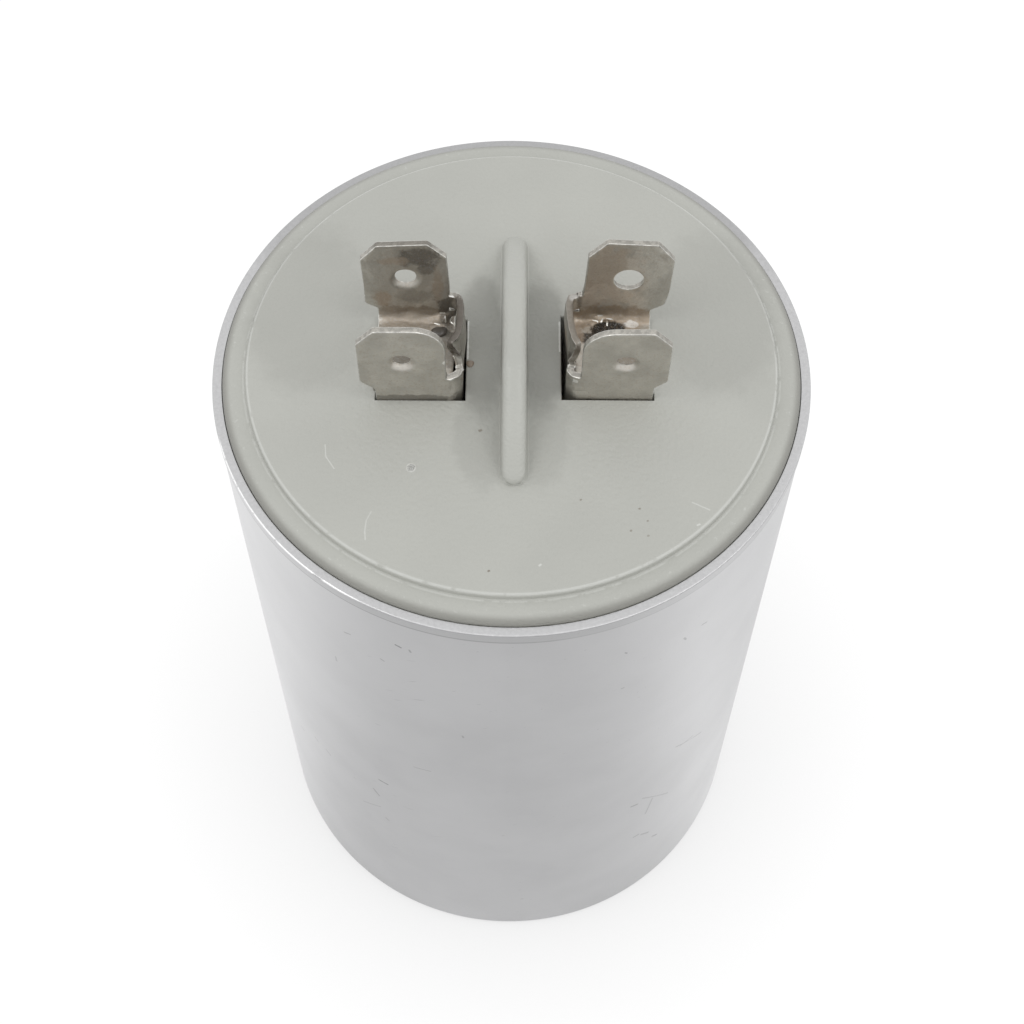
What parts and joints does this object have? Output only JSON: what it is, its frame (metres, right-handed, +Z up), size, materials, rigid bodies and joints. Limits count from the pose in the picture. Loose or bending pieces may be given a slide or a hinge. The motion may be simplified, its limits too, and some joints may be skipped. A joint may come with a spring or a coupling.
{
  "type": "motor run capacitor",
  "caption": "Cylindrical motor run capacitor: aluminium can, plastic lid with a barrier rib and folded double quick-connect terminals.",
  "frame": {"origin": "centre of the can's base, on the surface that the can stands on", "axes": "+Z up along the can's axis, out through the lid; the barrier rib runs along Y and the terminals stand at -X and +X"},
  "size_m": [0.045, 0.045, 0.075],
  "materials": {
    "can_aluminium": "satin drawn aluminium with fine scuffs, bright cut rim",
    "lid_plastic": "moulded grey thermoplastic, satin, lightly scuffed",
    "terminal_metal": "tin-plated sheet, handled and stained",
    "insulator_board": "pressed insulating board",
    "film": "metallised polypropylene film, wound",
    "core_plastic": "extruded polypropylene tube",
    "sprayed_zinc": "sprayed zinc, grainy",
    "wrap_film": "amber polyester wrap",
    "resin": "cast filled resin",
    "copper": "bare copper wire",
    "insulation_blue": "soft extruded insulation",
    "insulation_red": "soft extruded insulation",
    "solder": "set solder"
  },
  "bodies": {
    "root": {"can": "can_aluminium", "base_insulator": "insulator_board", "film_winding": "film", "winding_core": "core_plastic", "end_spray_bottom": "sprayed_zinc", "end_spray_top": "sprayed_zinc", "element_wrap": "wrap_film", "potting_resin": "resin", "lead_left_wire": "copper", "lead_left_insulation": "insulation_blue", "lead_right_wire": "copper", "lead_right_insulation": "insulation_red", "solder_top": "solder", "solder_bottom": "solder", "solder_left": "solder", "solder_right": "solder", "lid": "lid_plastic", "terminal_left": "terminal_metal", "terminal_right": "terminal_metal"}
  },
  "joints": []
}
